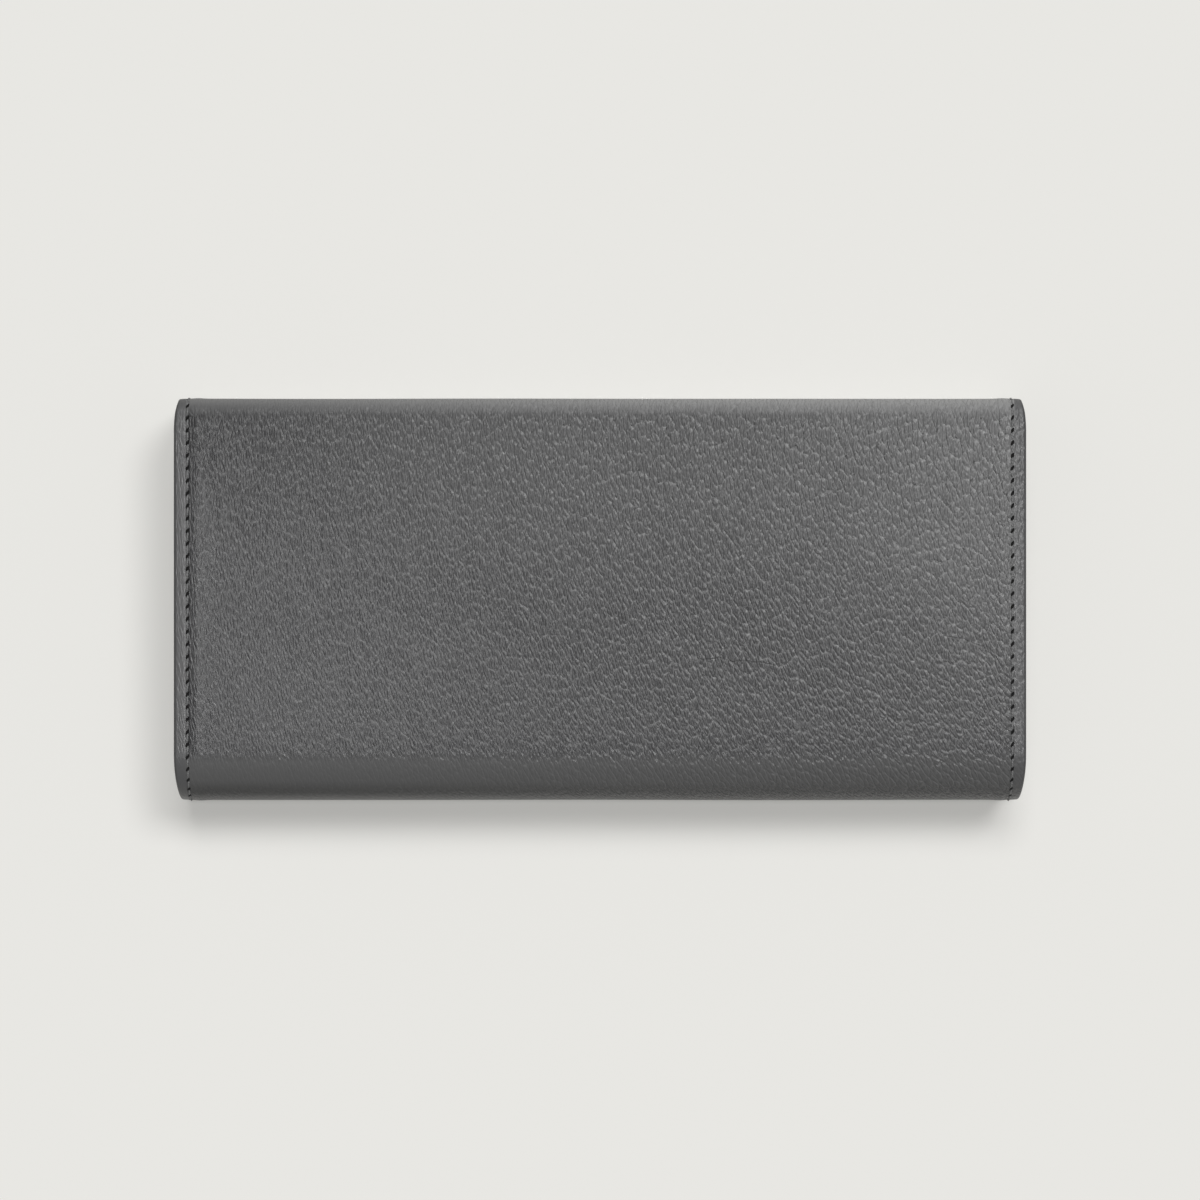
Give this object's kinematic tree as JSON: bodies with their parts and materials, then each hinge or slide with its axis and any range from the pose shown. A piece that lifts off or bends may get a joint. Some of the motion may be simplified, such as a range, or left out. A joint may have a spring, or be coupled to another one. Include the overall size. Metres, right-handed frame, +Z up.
{
  "type": "continental wallet",
  "caption": "Long leather flap wallet with a round body fold, press stud, stepped card slots, bill compartments and a zipped coin bag.",
  "frame": {"origin": "on the floor under the middle of the closed wallet, which lies on its flap", "axes": "+X along the width, +Y from the body fold to the flap fold, +Z up through the thickness"},
  "size_m": [0.19, 0.09, 0.025],
  "materials": {
    "outer_leather": "soft tumbled grain, grey, semi-matt",
    "lining_leather": "smooth thin lining leather, dark grey",
    "lining_fabric": "fine woven lining, dark grey",
    "board": "bonded fibre board",
    "nickel": "polished nickel plate",
    "zip_tape": "woven zip tape, dark grey"
  },
  "bodies": {
    "back": {"back_cover": "outer_leather", "back_stiffener": "board", "back_lining": "lining_fabric", "card_slot_row_1": "lining_leather", "card_slot_row_2": "lining_leather", "card_slot_row_3": "lining_leather", "card_slot_row_4": "lining_leather"},
    "spine": {"spine_cover": "outer_leather", "spine_lining": "lining_leather"},
    "flap": {"flap_cover": "outer_leather", "flap_stiffener": "board", "flap_lining": "lining_leather", "snap_cap": "nickel", "snap_socket": "nickel", "snap_spring": "nickel"},
    "front_leaf": {"front_cover": "outer_leather", "front_stiffener": "board", "front_lining": "lining_fabric", "front_slip_pocket": "lining_leather", "snap_stud": "nickel", "snap_post": "nickel", "gusset_front_left": "lining_leather", "gusset_front_right": "lining_leather"},
    "coin_leaf": {"coin_bag": "lining_leather", "zip_chain_front": "zip_tape", "zip_chain_back": "zip_tape", "zip_bottom_stop": "nickel", "zip_top_stop_front": "nickel", "zip_top_stop_back": "nickel", "gusset_back_left": "lining_leather", "gusset_back_right": "lining_leather"},
    "slider": {"zip_slider": "nickel"},
    "pull": {"zip_pull": "nickel"}
  },
  "joints": [
    {"name": "spine_crease", "type": "hinge", "parent": "back", "child": "spine", "pos_m": [0, 0.04397, 0.02397], "axis": [1, 0, 0], "range_deg": [0, 90]},
    {"name": "flap_crease", "type": "hinge", "parent": "spine", "child": "flap", "pos_m": [0, 0.04397, 0.00103], "axis": [1, 0, 0], "range_deg": [0, 90]},
    {"name": "front_leaf_open", "type": "hinge", "parent": "back", "child": "front_leaf", "pos_m": [0, -0.03395, 0.0029], "axis": [-1, 0, 0], "range_deg": [0, 18], "deforming": ["gusset_front_left", "gusset_front_right"]},
    {"name": "coin_leaf_open", "type": "hinge", "parent": "back", "child": "coin_leaf", "pos_m": [0, -0.03395, 0.0029], "axis": [-1, 0, 0], "range_deg": [0, 9], "deforming": ["gusset_back_left", "gusset_back_right"]},
    {"name": "zip_slide", "type": "slide", "parent": "coin_leaf", "child": "slider", "axis": [-1, 0, 0], "range_m": [0, 0.134], "deforming": ["zip_chain_front", "zip_chain_back"]},
    {"name": "pull_swing", "type": "hinge", "parent": "slider", "child": "pull", "pos_m": [0.066, 0.02775, 0.0132], "axis": [0, 0, -1], "range_deg": [0, 180]}
  ],
  "couplings": [
    {"joint": "flap_crease", "follows": "spine_crease", "ratio": 1},
    {"joint": "front_leaf_open", "follows": "spine_crease", "ratio": 0.2},
    {"joint": "coin_leaf_open", "follows": "spine_crease", "ratio": 0.1}
  ]
}
